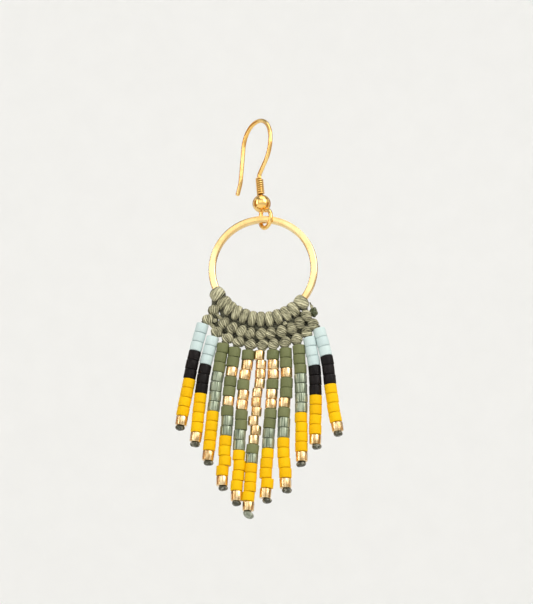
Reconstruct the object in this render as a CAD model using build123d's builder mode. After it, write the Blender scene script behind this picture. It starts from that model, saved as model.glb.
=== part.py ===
from build123d import *
import os
from math import asin, cos, degrees, radians, sin, sqrt, tan

# Drop earring: a wire ear hook with a coil and a ball, a square-wire ring, knotted cord
# and a fringe of eleven bead strings.  Millimetres, +Z up.
# The origin is the inner top of the hook's arch, where the earring sits in the ear.
# The hook lies in the YZ plane, with its loop towards -Y and its tail towards +Y.

# Ear hook wire
wire_diameter = 0.58
arch_width = 6.60            # stem to tail, between centre lines
arch_flat = 0.05             # straight piece at the top of the arch
stem_straight = 0.28         # straight piece of the stem between the knee and the arch
stem_reach = 0.10            # upper stem in front of the loop's centre
loop_radius = 1.25           # centre line of the bottom loop
loop_end_angle = 98.0        # where the loop's cut end stops, up from the front
stem_lean = 13.4             # lean of the coil, degrees
kink_height = 4.40           # ball centre to the kink above the coil
kink_radius = 0.60
knee_lean = 38.5             # lean of the stretch from the kink to the knee, degrees
knee_radius = 4.20
neck_radius = 1.50           # the slight bend inside the ball
tail_drop = 8.10             # arch to the flare of the tail
tail_spread = 0.40
flare_length = 1.90
flare_lean = 20.0
flare_radius = 3.00
tip_radius = 0.20

# Ball and coil on the hook
ball_diameter = 2.50
ball_rise = 2.42             # loop centre to ball centre
coil_wire_diameter = 0.22
coil_pitch = 0.33
coil_turns = 7.5
slip = 0.03                  # play of the wire in the ball and in the coil
stack_gap = 0.05             # ball to coil

# Ring
ring_outer_diameter = 15.0
ring_wire = 1.0              # square section
ring_edge_radius = 0.08
drop_turn = 38.0             # turn of the ring about Z from square to the hook, degrees
seat_gap = 0.04              # ring to loop
seat_edge_shift = 0.055      # the square edges run out of the loop's plane by this much

# Cord and knots
cord_clearance = 0.03        # ring to cord
wrap_thickness = 0.42        # cord where it lies flat on the ring
sleeve_thickness = 0.24      # cord between the wraps
wrap_turn = 4.7              # angle between the two wraps of a mounting knot
wrap_span = 4.2              # angle that one wrap covers
core_radius = 0.42           # carrier cord inside a row of hitches
hitch_core_radius = 0.40     # middle of a wrap's rounded edge to the hitch's own axis
hitch_edge_radius = 0.28     # rounded edge of a wrap
hitch_offset = 0.25          # middle of a hitch to each of its two wraps
hitch_bite = 0.12            # where the carrier starts inside a hitch
hitch_slant = 45.0           # the wraps run down towards the right, degrees
mount_gap = 0.65             # mounting knots to the upper row
row_gap = 0.17               # upper row to the lower row
string_gap = 0.10            # lower row to the first beads
burnt_end_diameter = 1.00
burnt_end_gap = 0.24         # last hitch of the upper row to the melted end
burnt_end_lean = 115.5       # its direction from that hitch

# Bead strings
bead_diameter = 1.60
bead_length = 1.34
bead_gap = 0.04
knob_diameter = 1.25
knob_height = 0.90
knob_edge_radius = 0.40
knob_gap = 0.04
run_shares = (0.30, 0.35, 0.35)
bend_share = 0.45            # part of the shorter run that a bend takes on each side

# Mounting knots round the ring, degrees from straight down towards the right
mount_angles = (-57.6, -45.0, -36.2, -27.0, -17.7, -8.5, 0.7, 10.0, 19.5, 29.0, 38.3, 50.0)

# Strands, left to right, each with its hitch in the upper and the lower row and its first bead.
# A side is to the right of the ring's middle, in bead diameters.  A step is outwards from the
# ring's wire, or from what is above, as a share of the usual step, and the pitch of a string's
# beads is a share of the usual pitch.  The leans of the upper, middle and lower stretch of the
# string are degrees towards the right.
strand_columns = (
    "upper_side", "upper_step", "lower_side", "lower_step", "bead_side", "bead_step",
    "beads", "pitch_share", "lean_top", "lean_mid", "lean_low",
)
strand_rows = (
    (-4.025, 0.798, -4.485, 0.987, -5.000, 1.028, 11, 0.955, -12.8, -7.6, -7.1),
    (-3.099, 1.000, -3.667, 1.013, -4.051, 1.014, 11, 0.982, -12.4, -4.5, -3.2),
    (-2.355, 1.009, -2.696, 1.020, -3.103, 1.062, 12, 0.994, -7.2, -3.6, -3.0),
    (-1.548, 0.996, -1.775, 1.020, -2.074, 1.041, 14, 1.000, -5.2, -0.9, -0.6),
    (-0.797, 1.000, -0.731, 1.013, -0.924, 1.021, 15, 1.015, -4.1, -0.5, -0.2),
    (0.140, 0.965, 0.329, 1.033, 0.187, 1.007, 17, 0.950, -1.4, -2.3, -1.4),
    (0.959, 0.965, 1.228, 1.033, 1.250, 1.014, 15, 0.995, 1.6, -1.9, -0.2),
    (1.873, 1.009, 2.201, 1.026, 2.317, 1.007, 14, 1.008, 3.6, -0.1, 4.9),
    (2.760, 1.083, 3.189, 1.033, 3.421, 1.021, 12, 0.980, 6.7, 3.1, 3.3),
    (3.392, 1.009, 4.051, 1.026, 4.326, 0.952, 11, 0.990, 13.5, 3.5, 1.9),
    (3.923, 0.886, 4.543, 1.007, 5.154, 1.041, 11, 0.967, 18.3, 8.7, 12.7),
)
strands = [dict(zip(strand_columns, row)) for row in strand_rows]

# Sizes that follow
wire_radius = wire_diameter / 2
arch_radius = (arch_width - arch_flat) / 2
ball_radius = ball_diameter / 2
bead_pitch = bead_length + bead_gap
ring_mean_radius = (ring_outer_diameter - ring_wire) / 2
loop_reach = loop_radius - wire_radius - seat_gap
section_half_width = ring_wire / 2 / cos(radians(drop_turn)) + seat_edge_shift
loop_over_ring = ring_mean_radius - ring_wire / 2 + sqrt(loop_reach**2 - section_half_width**2)
channel_side = ring_wire + 2 * cord_clearance
sleeve_side = channel_side + 2 * sleeve_thickness
wrap_side = channel_side + 2 * wrap_thickness
hitch_reach = hitch_offset + hitch_edge_radius
hitch_notch = hitch_core_radius + sqrt(hitch_edge_radius**2 - hitch_offset**2)
hitch_crown = hitch_core_radius + hitch_edge_radius
upper_step = wrap_side / 2 + mount_gap + hitch_crown
lower_step = 2 * hitch_crown + row_gap
bead_step = hitch_crown + string_gap + bead_length / 2
for strand in strands:
    strand["upper_radius"] = ring_mean_radius + strand["upper_step"] * upper_step
    strand["lower_radius"] = strand["upper_radius"] + strand["lower_step"] * lower_step
    strand["bead_radius"] = strand["lower_radius"] + strand["bead_step"] * bead_step
    for part in ("upper", "lower", "bead"):
        side = strand[part + "_side"] * bead_diameter
        strand[part + "_angle"] = degrees(asin(side / strand[part + "_radius"]))

# Bends of the hook, from the middle of the loop
lean = radians(stem_lean)
loop_side = (-loop_radius, 0)
ball_middle = (-loop_radius, ball_rise)
kink = (ball_middle[0] - kink_height * sin(lean), ball_middle[1] + kink_height * cos(lean))
knee = (stem_reach, kink[1] + (stem_reach - kink[0]) / tan(radians(knee_lean)))
knee_run = knee_radius * tan(radians(knee_lean / 2))
arch_rise = knee[1] + knee_run + stem_straight + arch_radius

# Frame of the hook: x to the front, y up, from the middle of the loop
arch_middle = stem_reach - arch_width / 2
loop_centre = Vector(0, arch_middle, wire_radius - arch_rise)
hook_frame = Plane(origin=loop_centre, x_dir=(0, -1, 0), z_dir=(-1, 0, 0))

# Frame of the drop: x to its right, y up, z to its front, from the middle of the ring
ring_centre = loop_centre - Vector(0, 0, loop_over_ring)
turn = radians(drop_turn)
drop_right = Vector(cos(turn), -sin(turn), 0)
drop_front = Vector(-sin(turn), -cos(turn), 0)
drop_frame = Plane(origin=ring_centre, x_dir=drop_right, z_dir=drop_front)
ring_axis = Axis(ring_centre, drop_front)


def heading(lean):
    """Return the downward direction in the drop's frame that leans right by an angle."""
    return Vector(sin(radians(lean)), -cos(radians(lean)), 0)


def drop_vector(local):
    """Return a direction of the drop's frame in the part's frame."""
    return drop_right * local.X + Vector(0, 0, 1) * local.Y + drop_front * local.Z


def ring_point(angle, radius):
    """Return the point at an angle from straight down and a distance from the ring's centre."""
    return ring_centre + drop_vector(heading(angle)) * radius


def radial_plane(angle):
    """Return the plane through the ring's axis, with x outwards and y to the front."""
    outward = drop_vector(heading(angle))
    return Plane(origin=ring_centre, x_dir=outward, z_dir=outward.cross(drop_front))


def hitch_plane(angle, radius):
    """Return the plane of a hitch, with x along the axis of its wraps and y to the front."""
    outward = heading(angle)
    along = Vector(-outward.Y, outward.X, 0)
    slant = radians(hitch_slant)
    across = drop_vector(along * cos(slant) - outward * sin(slant))
    return Plane(
        origin=ring_point(angle, radius), x_dir=across, z_dir=across.cross(drop_front)
    )


def string_points(strand):
    """Return the route of a bead string in the drop's frame, from its top to its bottom."""
    length = strand["beads"] * strand["pitch_share"] * bead_pitch - bead_gap
    first = heading(strand["bead_angle"]) * strand["bead_radius"]
    points = [first - heading(strand["lean_top"]) * (bead_length / 2)]
    for share, lean in zip(run_shares, ("lean_top", "lean_mid", "lean_low")):
        points.append(points[-1] + heading(strand[lean]) * (share * length))
    return points


def string_radii(points):
    """Return the bend radius at each inner point of a route."""
    radii = []
    for before, here, after in zip(points, points[1:], points[2:]):
        shorter = min((here - before).length, (after - here).length)
        half_turn = radians((here - before).get_angle(after - here)) / 2
        radii.append(bend_share * shorter / tan(half_turn))
    return radii


# Ear hook: tail, arch, stem and bottom loop, one bent wire
arch_front = (stem_reach, arch_rise)
arch_back = (stem_reach - arch_width, arch_rise)
flare = (arch_back[0] - tail_spread, arch_back[1] - tail_drop)
tip = (
    flare[0] - flare_length * sin(radians(flare_lean)),
    flare[1] - flare_length * cos(radians(flare_lean)),
)
with BuildPart() as ear_hook:
    with BuildLine(hook_frame):
        stem = FilletPolyline(
            tip, flare, arch_back, arch_front, knee, kink, ball_middle, loop_side,
            radius=[flare_radius, arch_radius, arch_radius, knee_radius, kink_radius, neck_radius],
        )
        CenterArc((0, 0), loop_radius, 180, 180 + loop_end_angle)
    with BuildSketch(Plane(origin=stem @ 0, z_dir=stem % 0)):
        Circle(wire_radius)
    sweep()
    end_edges = ear_hook.edges().filter_by(GeomType.CIRCLE)
    fillet(end_edges.sort_by_distance(stem @ 0)[0], tip_radius)
ear_hook.part.label = "ear_hook"

# Ball, bored for the wire, which bends slightly inside it
ball_centre = hook_frame.from_local_coords(Vector(*ball_middle, 0))
coil_heading = hook_frame.from_local_coords(Vector(*kink, 0)) - ball_centre
with BuildPart() as hook_ball:
    with Locations(ball_centre):
        Sphere(ball_radius)
        Sphere(wire_radius + slip, mode=Mode.SUBTRACT)
    for bore_heading in (Vector(0, 0, -1), coil_heading):
        with BuildSketch(Plane(origin=ball_centre, z_dir=bore_heading)):
            Circle(wire_radius + slip)
        extrude(amount=ball_diameter, mode=Mode.SUBTRACT)
hook_ball.part.label = "hook_ball"

# Coil of thin wire above the ball
coil_base = ball_centre + coil_heading.normalized() * (
    ball_radius + stack_gap + coil_wire_diameter / 2
)
with BuildPart() as hook_coil:
    with BuildLine():
        coil_turn = Helix(
            coil_pitch, coil_pitch * coil_turns, wire_radius + slip + coil_wire_diameter / 2,
            center=coil_base, direction=coil_heading,
        )
    with BuildSketch(Plane(origin=coil_turn @ 0, z_dir=coil_turn % 0)):
        Circle(coil_wire_diameter / 2)
    sweep(is_frenet=True)
hook_coil.part.label = "hook_coil"

# Ring of square wire
with BuildPart() as ring:
    with BuildSketch(radial_plane(0)):
        with Locations((ring_mean_radius, 0)):
            RectangleRounded(ring_wire, ring_wire, ring_edge_radius)
    revolve(axis=ring_axis)
ring.part.label = "ring"

# Mounting knots: pairs of wraps round the ring, over the cord between them
sleeve_start = mount_angles[0] - wrap_turn / 2
sleeve_span = mount_angles[-1] - mount_angles[0] + wrap_turn
with BuildPart() as mounting_knots:
    with BuildSketch(radial_plane(sleeve_start)):
        with Locations((ring_mean_radius, 0)):
            RectangleRounded(sleeve_side, sleeve_side, sleeve_thickness)
    revolve(axis=ring_axis, revolution_arc=sleeve_span)
    for mount_angle in mount_angles:
        for side in (-1, 1):
            wrap_start = mount_angle + side * wrap_turn / 2 - wrap_span / 2
            with BuildSketch(radial_plane(wrap_start)):
                with Locations((ring_mean_radius, 0)):
                    RectangleRounded(wrap_side, wrap_side, wrap_thickness)
            revolve(axis=ring_axis, revolution_arc=wrap_span)
    with BuildSketch(radial_plane(sleeve_start - wrap_turn)):
        with Locations((ring_mean_radius, 0)):
            Rectangle(channel_side, channel_side)
    revolve(axis=ring_axis, revolution_arc=sleeve_span + 2 * wrap_turn, mode=Mode.SUBTRACT)
mounting_knots.part.label = "mounting_knots"

# Melted end of the carrier cord, at the right of the upper row
last_hitch = ring_point(strands[-1]["upper_angle"], strands[-1]["upper_radius"])
burnt_end_reach = hitch_crown + burnt_end_gap + burnt_end_diameter / 2
with BuildPart() as carrier_end:
    with Locations(last_hitch + drop_vector(heading(burnt_end_lean)) * burnt_end_reach):
        Sphere(burnt_end_diameter / 2)
carrier_end.part.label = "carrier_end"

pieces = [ear_hook, hook_ball, hook_coil, ring, mounting_knots, carrier_end]

# Two rows of hitches, each hitch two wraps side by side, with the carrier cord between them
for row in ("upper", "lower"):
    hitches = [hitch_plane(strand[row + "_angle"], strand[row + "_radius"]) for strand in strands]
    with BuildPart() as hitch_row:
        for hitch in hitches:
            with BuildSketch(hitch):
                with BuildLine():
                    Polyline(
                        (0, hitch_notch), (0, 0), (-hitch_reach, 0), (-hitch_reach, hitch_core_radius)
                    )
                    ThreePointArc(
                        (-hitch_reach, hitch_core_radius), (-hitch_offset, hitch_crown), (0, hitch_notch)
                    )
                make_face()
                mirror(about=Plane.YZ)
            revolve(axis=Axis(hitch.origin, hitch.x_dir))
        for here, there in zip(hitches, hitches[1:]):
            way = there.origin - here.origin
            start = here.origin + way.normalized() * hitch_bite
            with BuildSketch(Plane(origin=start, z_dir=way)):
                Circle(core_radius)
            extrude(amount=way.length - 2 * hitch_bite)
    hitch_row.part.label = "hitch_row_" + row
    pieces.append(hitch_row)

# Bead strings, each with the melted knob that holds its last bead
for number, strand in enumerate(strands, start=1):
    route = string_points(strand)
    radii = string_radii(route)
    print(f"strand {number:2d}  bends", ", ".join(f"{radius:.0f} mm" for radius in radii))
    with BuildPart() as bead_string:
        with BuildLine(drop_frame):
            thread = FilletPolyline(*[tuple(point) for point in route], radius=radii)
        with BuildSketch(Plane(origin=thread @ 0, z_dir=thread % 0)):
            Circle(bead_diameter / 2)
        sweep()
    bead_string.part.label = f"strand_{number:02d}"

    down = thread % 1
    with BuildPart() as end_knot:
        with BuildSketch(Plane(origin=thread @ 1 + down * knob_gap, z_dir=down)):
            Circle(knob_diameter / 2)
        extrude(amount=knob_height)
        fillet(end_knot.edges().filter_by(GeomType.CIRCLE), knob_edge_radius)
    end_knot.part.label = f"end_knot_{number:02d}"
    pieces += [bead_string, end_knot]

os.makedirs("parts", exist_ok=True)
for piece in pieces:
    export_step(piece.part, f"parts/{piece.part.label}.step")
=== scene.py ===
"""Drop earring with a square-wire ring, knotted cord and a fringe of bead strings.

Sizes in the classes are millimetres, apart from those of the finishes and the studio, which are
metres.  Meshes are made in the drop's own frame, with x to its right, y to its back and z up from
the middle of the ring, and are then laid into the part's frame.
"""
import logging
import math
import random
from collections.abc import Callable, Sequence
from dataclasses import dataclass, field, replace
from enum import Enum

import bmesh
import bpy
from bmesh.types import BMEdge, BMesh, BMVert
from bpy.types import ID, Material, Mesh, Node, NodeOutputs, NodeSocket, NodeTree, Object
from mathutils import Matrix, Vector


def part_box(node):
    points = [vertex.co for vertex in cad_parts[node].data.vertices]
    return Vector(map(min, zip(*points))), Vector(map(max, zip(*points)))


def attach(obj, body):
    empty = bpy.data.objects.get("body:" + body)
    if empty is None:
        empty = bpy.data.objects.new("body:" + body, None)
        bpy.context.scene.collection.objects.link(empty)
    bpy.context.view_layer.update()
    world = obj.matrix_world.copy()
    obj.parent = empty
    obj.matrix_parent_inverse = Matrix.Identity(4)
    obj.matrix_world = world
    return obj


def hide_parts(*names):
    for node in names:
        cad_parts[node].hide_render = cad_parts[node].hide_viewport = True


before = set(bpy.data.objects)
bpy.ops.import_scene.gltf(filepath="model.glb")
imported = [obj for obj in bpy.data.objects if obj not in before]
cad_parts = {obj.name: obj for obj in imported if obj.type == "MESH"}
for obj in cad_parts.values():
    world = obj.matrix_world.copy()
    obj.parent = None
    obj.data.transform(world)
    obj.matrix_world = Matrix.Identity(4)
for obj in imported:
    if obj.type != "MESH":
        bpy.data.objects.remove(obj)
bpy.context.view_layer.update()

log = logging.getLogger("earring")
MM = 0.001
FRONT = Vector((0.0, -1.0, 0.0))
RIGHT = Vector((1.0, 0.0, 0.0))
SEED = 11
NOISE_RANGE = (0.3, 0.7)
HAIR_RANGE = (0.52, 0.68)
HAIR_SQUASH = 0.12
FIBRE_SQUASH = 0.22
FIBRE_HEIGHT = 0.8
FLUFF_HEIGHT = 0.35
Pair = tuple[float, float]
Triple = tuple[float, float, float]
Colour = Triple


# Frame of the drop


@dataclass(frozen=True)
class DropFrame:
    """Where the ring and all that it carries hang in the part's frame."""

    turn: float = 38.0

    @property
    def middle(self) -> Vector:
        """Middle of the ring, in metres."""
        low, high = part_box("ring")
        return (low + high) / 2

    @property
    def matrix(self) -> Matrix:
        """Matrix from the drop's millimetres to the part's metres."""
        return (
            Matrix.Translation(self.middle)
            @ Matrix.Rotation(-math.radians(self.turn), 4, "Z")
            @ Matrix.Scale(MM, 4)
        )


def heading(lean: float) -> Vector:
    """Return the downward direction that leans right by an angle.

    Args:
        lean: Angle from straight down towards the right, in degrees.

    Returns:
        A unit vector in the drop's frame.
    """
    angle = math.radians(lean)
    return Vector((math.sin(angle), 0.0, -math.cos(angle)))


# Node wiring


class Wiring:
    """Short names for adding and joining nodes in one tree."""

    def __init__(self, tree: NodeTree) -> None:
        """Keep the tree to work in."""
        self.tree = tree

    def add(self, kind: str, values: dict | None = None, **settings: object) -> Node:
        """Add a node.

        Args:
            kind: Node type without its ShaderNode prefix, or a Node... type as it is.
            values: Input socket values by name or number.
            settings: Properties of the node.

        Returns:
            The new node.
        """
        node = self.tree.nodes.new(kind if kind.startswith("Node") else "ShaderNode" + kind)
        for name, value in settings.items():
            setattr(node, name, value)
        for key, value in (values or {}).items():
            if isinstance(value, NodeSocket):
                self.tree.links.new(value, node.inputs[key])
            else:
                node.inputs[key].default_value = value
        return node

    def math(self, operation: str, a: object, b: object = 0.0, clamp: bool = False) -> NodeSocket:
        """Return the result of a Math node on two values or sockets."""
        return self.add("Math", {0: a, 1: b}, operation=operation, use_clamp=clamp).outputs[0]

    def spread(
        self, value: object, low: float, high: float, to_low: float, to_high: float
    ) -> NodeSocket:
        """Return a value mapped from one range to another, clamped."""
        keys = {"Value": value, "From Min": low, "From Max": high, "To Min": to_low, "To Max": to_high}
        return self.add("MapRange", keys).outputs["Result"]

    def mask(self, value: object, low: float, high: float) -> NodeSocket:
        """Return a mask from 0 at the low value to 1 at the high one."""
        return self.spread(value, low, high, 0.0, 1.0)

    def place(self) -> NodeSocket:
        """Return the place on the object, in metres."""
        return self.add("TexCoord").outputs["Object"]

    def layer(self, name: str, output: str = "Fac") -> NodeSocket:
        """Return an attribute of the mesh."""
        return self.add("Attribute", attribute_name=name).outputs[output]

    def noise(self, place: object, scale: object, detail: float) -> NodeSocket:
        """Return the value of a Noise Texture at a place."""
        return self.add("TexNoise", {"Vector": place, "Scale": scale, "Detail": detail}).outputs["Fac"]

    def blend_heights(self, *shares: tuple[object, object]) -> NodeSocket:
        """Return the sum of two heights, each times its share."""
        return self.math("ADD", *(self.math("MULTIPLY", height, share) for height, share in shares))

    def bump(self, height: object, strength: float, distance: float) -> NodeSocket:
        """Return the normal that a Bump node gives."""
        return self.add("Bump", {"Height": height, "Strength": strength, "Distance": distance}).outputs[0]

    def join(self, sockets: dict[str, NodeSocket], target: Node) -> None:
        """Link sockets to the inputs of a node, by the inputs' names."""
        for name, socket in sockets.items():
            self.tree.links.new(socket, target.inputs[name])

    def ramp(self, value: object, stops: Sequence[tuple[float, Colour]]) -> NodeSocket:
        """Return a colour read from a ramp.

        Args:
            value: Socket that drives the ramp.
            stops: Positions with their linear colours, low to high.

        Returns:
            The ramp's colour socket.
        """
        node = self.add("ValToRGB", {"Fac": value})
        elements = node.color_ramp.elements
        for place, (position, colour) in enumerate(stops):
            element = elements[place] if place < 2 else elements.new(position)
            element.position = position
            element.color = (*colour, 1.0)
        return node.outputs["Color"]

    def mix(self, factor: object, a: object, b: object, blend: str = "MIX") -> NodeSocket:
        """Mix two colours.

        Args:
            factor: Share of the second colour, as a value or socket.
            a: First colour or socket.
            b: Second colour or socket.
            blend: How they are mixed.

        Returns:
            The mixed colour's socket.
        """
        node = self.add("Mix", data_type="RGBA", blend_type=blend)
        for key, value in ((0, factor), (6, a), (7, b)):
            if isinstance(value, NodeSocket):
                self.tree.links.new(value, node.inputs[key])
            else:
                node.inputs[key].default_value = value if key == 0 else (*value[:3], 1.0)
        return node.outputs[2]


def fine_wear(wiring: Wiring, source: Node, target: Node) -> None:
    """Fill the group of cloudy tarnish and hairline scratches on metal.

    Args:
        wiring: Wiring of the group's tree.
        source: Its input node.
        target: Its output node.
    """
    place = wiring.place()
    cloud = wiring.noise(place, source.outputs["Cloud Scale"], detail=4.0)
    long_place = wiring.add("Mapping", {"Vector": place, "Scale": (1.0, 1.0, HAIR_SQUASH)}).outputs[0]
    hair = wiring.noise(long_place, source.outputs["Scratch Scale"], detail=6.0)
    wiring.join({"Cloud": cloud, "Scratches": wiring.mask(hair, *HAIR_RANGE)}, target)


def bead_surface(wiring: Wiring, source: Node, target: Node) -> None:
    """Fill the group of streaks along a bead, grain all over it and its own shade.

    Args:
        wiring: Wiring of the group's tree.
        source: Its input node.
        target: Its output node.
    """
    place = wiring.layer("bead_place", "Vector")
    apart = wiring.add("SeparateXYZ", {"Vector": place}).outputs
    along = wiring.math("MULTIPLY", apart["Z"], source.outputs["Streak Squash"])
    stretched = wiring.add("CombineXYZ", {"X": apart["X"], "Y": apart["Y"], "Z": along}).outputs[0]
    streaks = wiring.noise(stretched, source.outputs["Streak Scale"], detail=2.0)
    grain = wiring.noise(place, source.outputs["Grain Scale"], detail=4.0)
    wiring.join({"Streaks": streaks, "Grain": grain, "Tint": wiring.layer("bead_tint")}, target)


def cord_fibres(wiring: Wiring, source: Node, target: Node) -> None:
    """Fill the group of fibres along the plies, stray fluff and the painted light and shade of the plies,
    dark in the grooves and pale on the crowns.

    Args:
        wiring: Wiring of the group's tree.
        source: Its input node.
        target: Its output node.
    """
    place = wiring.layer("cord_place", "Vector")
    along = wiring.add("Mapping", {"Vector": place, "Scale": (1.0, 1.0, FIBRE_SQUASH)}).outputs[0]
    fibres = wiring.noise(along, source.outputs["Fibre Scale"], detail=3.0)
    fluff = wiring.noise(wiring.place(), source.outputs["Fluff Scale"], detail=5.0)
    height = wiring.blend_heights((fibres, FIBRE_HEIGHT), (fluff, FLUFF_HEIGHT))
    # Painted light and shade of the cord, written on its vertices.
    crown = wiring.layer("cord_crown")
    wiring.join({"Fibres": fibres, "Fluff": fluff, "Crown": crown, "Height": height}, target)


@dataclass(frozen=True)
class Effect:
    """A shader node group with float inputs and outputs, made once and used by several finishes."""

    fill: Callable[[Wiring, Node, Node], None]
    inputs: dict[str, float]
    outputs: Sequence[str]

    def tree(self) -> NodeTree:
        """Find the group's tree, or make it when it is first asked for.

        Returns:
            The tree.
        """
        name = self.fill.__name__
        if name in bpy.data.node_groups:
            return bpy.data.node_groups[name]
        tree = bpy.data.node_groups.new(name, "ShaderNodeTree")
        for label, value in self.inputs.items():
            socket = tree.interface.new_socket(name=label, in_out="INPUT", socket_type="NodeSocketFloat")
            socket.default_value = value
        for label in self.outputs:
            tree.interface.new_socket(name=label, in_out="OUTPUT", socket_type="NodeSocketFloat")
        wiring = Wiring(tree)
        self.fill(wiring, wiring.add("NodeGroupInput"), wiring.add("NodeGroupOutput"))
        return tree

    def add(self, wiring: Wiring, values: dict[str, float] | None = None) -> NodeOutputs:
        """Add the group to a material and return its outputs."""
        return wiring.add("Group", values, node_tree=self.tree()).outputs


METAL_WEAR = Effect(fine_wear, {"Cloud Scale": 260.0, "Scratch Scale": 5200.0}, ("Cloud", "Scratches"))
CORD_FIBRES = Effect(
    cord_fibres, {"Fibre Scale": 9.0, "Fluff Scale": 5200.0}, ("Fibres", "Fluff", "Crown", "Height")
)
BEAD_SURFACE = Effect(
    bead_surface,
    {"Streak Scale": 4.0, "Streak Squash": 0.16, "Grain Scale": 14.0},
    ("Streaks", "Grain", "Tint"),
)


# Finishes


def blank_material(name: str) -> tuple[Material, Wiring, Node]:
    """Make a new material.

    Args:
        name: Name of the material.

    Returns:
        The material, its wiring and its Principled shader.
    """
    material = bpy.data.materials.new(name)
    material.use_nodes = True
    return material, Wiring(material.node_tree), material.node_tree.nodes["Principled BSDF"]


@dataclass(frozen=True)
class CoilShade:
    """Painted shade on the metal between the turns of a coil and on the wire inside it, in metres."""

    middle: Triple
    lean: float
    half_length: float
    groove_radius: float
    crown_radius: float
    end_blend: float = 0.06 * MM
    # Colour of the painted shade.
    colour: Colour = (0.22, 0.095, 0.018)

    def light(self, wiring: Wiring) -> NodeSocket:
        """Add a mask from 0 deep in the coil, where the painted shade is full, to 1 on its crowns and beyond
        its ends.

        Args:
            wiring: Wiring of the metal.

        Returns:
            The mask.
        """
        turn = (-math.radians(self.lean), 0.0, 0.0)
        keys = {"Vector": wiring.place(), "Location": self.middle, "Rotation": turn}
        local = wiring.add("Mapping", keys, vector_type="TEXTURE").outputs[0]
        apart = wiring.add("SeparateXYZ", {"Vector": local}).outputs
        flat = wiring.add("CombineXYZ", {"X": apart["X"], "Y": apart["Y"]}).outputs[0]
        radius = wiring.add("VectorMath", {0: flat}, operation="LENGTH").outputs["Value"]
        crown = wiring.mask(radius, self.groove_radius, self.crown_radius)
        run = wiring.math("ABSOLUTE", apart["Z"])
        beyond = wiring.mask(run, self.half_length, self.half_length + self.end_blend)
        return wiring.math("MAXIMUM", crown, beyond)


@dataclass(frozen=True)
class PlatedMetal:
    """Polished gold plate with faint tarnish and hairlines, and painted shade in a coil where there is one.
    """

    name: str
    colour: Colour
    deep: Colour
    roughness: float
    roughness_shares: Pair = (1.35, 0.85)
    cloud_range: Pair = (0.35, 0.65)
    scratch: float = 0.10
    relief: float = 0.06
    depth: float = 0.02 * MM
    # Painted shade between the coil's turns and on the wire inside it, if any.
    coil: CoilShade | None = None

    def make(self) -> Material:
        """Make the material.

        Returns:
            The material.
        """
        material, wiring, shader = blank_material(self.name)
        wear = METAL_WEAR.add(wiring)
        cloud = wiring.mask(wear["Cloud"], *self.cloud_range)
        colour = wiring.mix(cloud, self.deep, self.colour)
        # Painted shade: the metal darkens between the coil's turns and on the wire inside the coil.
        if self.coil:
            colour = wiring.mix(self.coil.light(wiring), self.coil.colour, colour)
        dull, bright = (self.roughness * share for share in self.roughness_shares)
        clouded = wiring.spread(cloud, 0.0, 1.0, dull, bright)
        rough = wiring.math("ADD", clouded, wiring.math("MULTIPLY", wear["Scratches"], self.scratch))
        normal = wiring.bump(wear["Scratches"], self.relief, self.depth)
        shader.inputs["Metallic"].default_value = 1.0
        wiring.join({"Base Color": colour, "Roughness": rough, "Normal": normal}, shader)
        return material


@dataclass(frozen=True)
class TwistedCordFinish:
    """Waxed twisted cord with fine fibres; its pale crowns are painted highlight and its dark grooves and
    crevices painted shade.
    """

    name: str
    # Ramp colours from dark to pale: the crevice and groove colours are painted shade, the crown colour
    # painted highlight.
    crevice: Colour
    groove: Colour
    body: Colour
    crown: Colour
    levels: tuple[float, float, float, float] = (0.06, 0.26, 0.50, 0.95)
    crown_share: float = 0.85
    fibre_shade: Pair = (-0.28, 0.32)
    patch_shade: Pair = (0.82, 1.12)
    roughness: Pair = (0.74, 0.50)
    sheen: float = 0.15
    sheen_roughness: float = 0.45
    relief: float = 0.55
    depth: float = 0.05 * MM

    def make(self) -> Material:
        """Make the material.

        Returns:
            The material.
        """
        material, wiring, shader = blank_material(self.name)
        cord = CORD_FIBRES.add(wiring)
        # Painted light and shade: the ramp runs from shaded crevices and grooves to lit crowns.
        crown = wiring.math("MULTIPLY", cord["Crown"], self.crown_share)
        fibres = wiring.spread(cord["Fibres"], *NOISE_RANGE, *self.fibre_shade)
        colours = (self.crevice, self.groove, self.body, self.crown)
        colour = wiring.ramp(wiring.math("ADD", crown, fibres, clamp=True), list(zip(self.levels, colours)))
        patch = wiring.spread(cord["Fluff"], *NOISE_RANGE, *self.patch_shade)
        shade = wiring.add("HueSaturation", {"Value": patch, "Color": colour}).outputs[0]
        rough = wiring.spread(cord["Fibres"], *NOISE_RANGE, *self.roughness)
        normal = wiring.bump(cord["Height"], self.relief, self.depth)
        shader.inputs["Sheen Weight"].default_value = self.sheen
        shader.inputs["Sheen Roughness"].default_value = self.sheen_roughness
        wiring.join({"Base Color": shade, "Roughness": rough, "Normal": normal}, shader)
        return material


@dataclass(frozen=True)
class MeltedCordFinish:
    """Cord that was melted and set hard: dark, smooth and uneven."""

    name: str
    dark: Colour
    light: Colour
    roughness: float = 0.30
    roughness_play: Pair = (-0.1, 0.2)
    lump_scale: float = 2600.0
    pale_range: Pair = (0.35, 0.68)
    dark_share: float = 0.45
    relief: float = 0.4
    depth: float = 0.06 * MM

    def make(self) -> Material:
        """Make the material.

        Returns:
            The material.
        """
        material, wiring, shader = blank_material(self.name)
        lumps = wiring.noise(wiring.place(), self.lump_scale, detail=4.0)
        pale = wiring.mask(lumps, *self.pale_range)
        colour = wiring.ramp(pale, ((0.0, self.dark), (self.dark_share, self.dark), (1.0, self.light)))
        bright, dull = (self.roughness + play for play in self.roughness_play)
        rough = wiring.spread(lumps, *NOISE_RANGE, bright, dull)
        normal = wiring.bump(lumps, self.relief, self.depth)
        wiring.join({"Base Color": colour, "Roughness": rough, "Normal": normal}, shader)
        return material


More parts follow.
